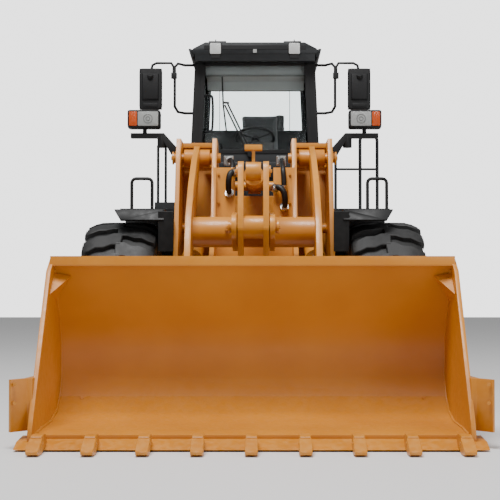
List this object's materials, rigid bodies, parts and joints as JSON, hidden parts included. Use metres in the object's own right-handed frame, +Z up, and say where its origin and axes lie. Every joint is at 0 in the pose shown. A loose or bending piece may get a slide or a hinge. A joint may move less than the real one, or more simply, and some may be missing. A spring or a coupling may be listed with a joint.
{
  "type": "articulated wheel loader",
  "caption": "Articulated wheel loader with a linkage-driven bucket, enclosed cab, hinged frames and freely turning wheels.",
  "frame": {"origin": "centre of the machine's overall box, on the ground it stands on", "axes": "-Y is the front, where the bucket is; +Z is up; +X is the operator's left"},
  "size_m": [3.15, 8.12, 3.48],
  "materials": {
    "black": "black",
    "charcoal": "satin charcoal paint",
    "chrome": "polished",
    "glass": "clear",
    "iron": "rough casting",
    "paint": "satin yellow-orange paint",
    "rubber": "matt",
    "seat": "woven"
  },
  "bodies": {
    "bellcrank": {"bellcrank": "paint"},
    "boom": {"boom": "paint"},
    "bucket": {"bucket": "paint", "cutting_edge": "paint"},
    "cab_door_left": {"cab_door_left": "charcoal", "door_glass_left": "glass"},
    "cab_door_right": {"cab_door_right": "charcoal", "door_glass_right": "glass"},
    "rear_body": {"cab_frame": "charcoal", "cab_roof": "charcoal", "counterweight": "paint", "dashboard": "black", "engine_block": "iron", "engine_hood": "paint", "exhaust_stack": "black", "fuel_tank": "charcoal", "hydraulic_tank": "charcoal", "mirror_left": "black", "mirror_right": "black", "platform_left": "charcoal", "platform_right": "charcoal", "quarter_glass_left": "glass", "quarter_glass_right": "glass", "rear_axle": "paint", "rear_fender_left": "paint", "rear_fender_right": "paint", "rear_frame": "paint", "rear_glass": "glass", "seat": "seat", "steering_wheel": "black", "windscreen": "glass"},
    "engine_door_left": {"engine_door_left": "paint"},
    "engine_door_right": {"engine_door_right": "paint"},
    "front_body": {"front_axle": "paint", "front_fender_left": "black", "front_fender_right": "black", "front_frame": "paint", "headlamp_left": "black", "headlamp_right": "black"},
    "front_wheel_left": {"front_rim_left": "paint", "front_tyre_left": "rubber"},
    "front_wheel_right": {"front_rim_right": "paint", "front_tyre_right": "rubber"},
    "lift_barrel_left": {"lift_cylinder_barrel_left": "paint"},
    "lift_barrel_right": {"lift_cylinder_barrel_right": "paint"},
    "lift_rod_left": {"lift_cylinder_rod_left": "chrome"},
    "lift_rod_right": {"lift_cylinder_rod_right": "chrome"},
    "rear_grille": {"rear_grille": "charcoal"},
    "rear_wheel_left": {"rear_rim_left": "paint", "rear_tyre_left": "rubber"},
    "rear_wheel_right": {"rear_rim_right": "paint", "rear_tyre_right": "rubber"},
    "steer_barrel_left": {"steer_cylinder_barrel_left": "paint"},
    "steer_barrel_right": {"steer_cylinder_barrel_right": "paint"},
    "steer_rod_left": {"steer_cylinder_rod_left": "chrome"},
    "steer_rod_right": {"steer_cylinder_rod_right": "chrome"},
    "tilt_barrel": {"tilt_cylinder_barrel": "paint"},
    "tilt_rod": {"tilt_cylinder_rod": "chrome"},
    "tilt_link": {"tilt_link": "paint"}
  },
  "joints": [
    {"name": "articulation", "type": "hinge", "parent": "rear_body", "child": "front_body", "pos_m": [0, 0.36, 0], "axis": [0, 0, 1], "range_deg": [-38, 38]},
    {"name": "front_wheel_left_spin", "type": "hinge", "parent": "front_body", "child": "front_wheel_left", "pos_m": [1.095, -1.29, 0.8], "axis": [1, 0, 0], "continuous": true},
    {"name": "front_wheel_right_spin", "type": "hinge", "parent": "front_body", "child": "front_wheel_right", "pos_m": [-1.095, -1.29, 0.8], "axis": [1, 0, 0], "continuous": true},
    {"name": "rear_wheel_left_spin", "type": "hinge", "parent": "rear_body", "child": "rear_wheel_left", "pos_m": [1.095, 2.01, 0.8], "axis": [1, 0, 0], "continuous": true},
    {"name": "rear_wheel_right_spin", "type": "hinge", "parent": "rear_body", "child": "rear_wheel_right", "pos_m": [-1.095, 2.01, 0.8], "axis": [1, 0, 0], "continuous": true},
    {"name": "boom_lift", "type": "hinge", "parent": "front_body", "child": "boom", "pos_m": [0, -0.64, 2.22], "axis": [-1, 0, 0], "range_deg": [0, 87]},
    {"name": "bucket_tilt", "type": "hinge", "parent": "boom", "child": "bucket", "pos_m": [0, -2.42, 0.3], "axis": [1, 0, 0], "range_deg": [-40, 130]},
    {"name": "bellcrank_turn", "type": "hinge", "parent": "boom", "child": "bellcrank", "pos_m": [0, -2.09, 1.52], "axis": [1, 0, 0], "range_deg": [-46, 15]},
    {"name": "tilt_link_turn", "type": "hinge", "parent": "bellcrank", "child": "tilt_link", "pos_m": [0, -1.69, 0.99], "axis": [1, 0, 0], "range_deg": [-12, 38]},
    {"name": "tilt_barrel_swing", "type": "hinge", "parent": "front_body", "child": "tilt_barrel", "pos_m": [0, -0.24, 2], "axis": [-1, 0, 0], "range_deg": [-1, 62]},
    {"name": "tilt_rod_slide", "type": "slide", "parent": "tilt_barrel", "child": "tilt_rod", "axis": [0, -0.9999, -0.0171], "range_m": [-0.21, 0.07]},
    {"name": "lift_barrel_swing_left", "type": "hinge", "parent": "front_body", "child": "lift_barrel_left", "pos_m": [0.52, -0.48, 1.59], "axis": [-1, 0, 0], "range_deg": [-1, 72]},
    {"name": "lift_rod_slide_left", "type": "slide", "parent": "lift_barrel_left", "child": "lift_rod_left", "axis": [0, -0.9487, -0.3162], "range_m": [-0.005, 0.78]},
    {"name": "lift_barrel_swing_right", "type": "hinge", "parent": "front_body", "child": "lift_barrel_right", "pos_m": [-0.52, -0.48, 1.59], "axis": [-1, 0, 0], "range_deg": [-1, 72]},
    {"name": "lift_rod_slide_right", "type": "slide", "parent": "lift_barrel_right", "child": "lift_rod_right", "axis": [0, -0.9487, -0.3162], "range_m": [-0.005, 0.78]},
    {"name": "steer_barrel_swing_left", "type": "hinge", "parent": "rear_body", "child": "steer_barrel_left", "pos_m": [0.53, 1.14, 0.75], "axis": [0, 0, 1], "range_deg": [-14, 14]},
    {"name": "steer_rod_slide_left", "type": "slide", "parent": "steer_barrel_left", "child": "steer_rod_left", "axis": [-0.0546, -0.9985, 0], "range_m": [-0.31, 0.31]},
    {"name": "steer_barrel_swing_right", "type": "hinge", "parent": "rear_body", "child": "steer_barrel_right", "pos_m": [-0.53, 1.14, 0.75], "axis": [0, 0, 1], "range_deg": [-14, 14]},
    {"name": "steer_rod_slide_right", "type": "slide", "parent": "steer_barrel_right", "child": "steer_rod_right", "axis": [0.0546, -0.9985, 0], "range_m": [-0.31, 0.31]},
    {"name": "cab_door_left_swing", "type": "hinge", "parent": "rear_body", "child": "cab_door_left", "pos_m": [0.66, 1.5796, 1.8], "axis": [-0.0454, 0, 0.999], "range_deg": [0, 95]},
    {"name": "cab_door_right_swing", "type": "hinge", "parent": "rear_body", "child": "cab_door_right", "pos_m": [-0.66, 1.5796, 1.8], "axis": [-0.0454, 0, -0.999], "range_deg": [0, 95]},
    {"name": "engine_door_left_lift", "type": "hinge", "parent": "rear_body", "child": "engine_door_left", "pos_m": [0.6, 1.92, 2.3296], "axis": [0, -1, 0], "range_deg": [0, 95]},
    {"name": "engine_door_right_lift", "type": "hinge", "parent": "rear_body", "child": "engine_door_right", "pos_m": [-0.6, 1.92, 2.3296], "axis": [0, 1, 0], "range_deg": [0, 95]},
    {"name": "rear_grille_swing", "type": "hinge", "parent": "rear_body", "child": "rear_grille", "pos_m": [0.4996, 3.61, 1.4], "axis": [0, 0, -1], "range_deg": [0, 100]}
  ],
  "couplings": [
    {"joint": "bellcrank_turn", "follows": "bucket_tilt", "ratio": -0.34},
    {"joint": "tilt_link_turn", "follows": "bucket_tilt", "ratio": 0.28},
    {"joint": "tilt_barrel_swing", "follows": "boom_lift", "ratio": 0.7},
    {"joint": "tilt_rod_slide", "follows": "bucket_tilt", "m_per_rad": -0.088},
    {"joint": "lift_barrel_swing_left", "follows": "boom_lift", "ratio": 0.8126},
    {"joint": "lift_rod_slide_left", "follows": "boom_lift", "m_per_rad": 0.509},
    {"joint": "lift_barrel_swing_right", "follows": "boom_lift", "ratio": 0.8126},
    {"joint": "lift_rod_slide_right", "follows": "boom_lift", "m_per_rad": 0.509},
    {"joint": "steer_barrel_swing_left", "follows": "articulation", "ratio": 0.355},
    {"joint": "steer_rod_slide_left", "follows": "articulation", "m_per_rad": -0.452},
    {"joint": "steer_barrel_swing_right", "follows": "articulation", "ratio": 0.355},
    {"joint": "steer_rod_slide_right", "follows": "articulation", "m_per_rad": 0.452}
  ]
}
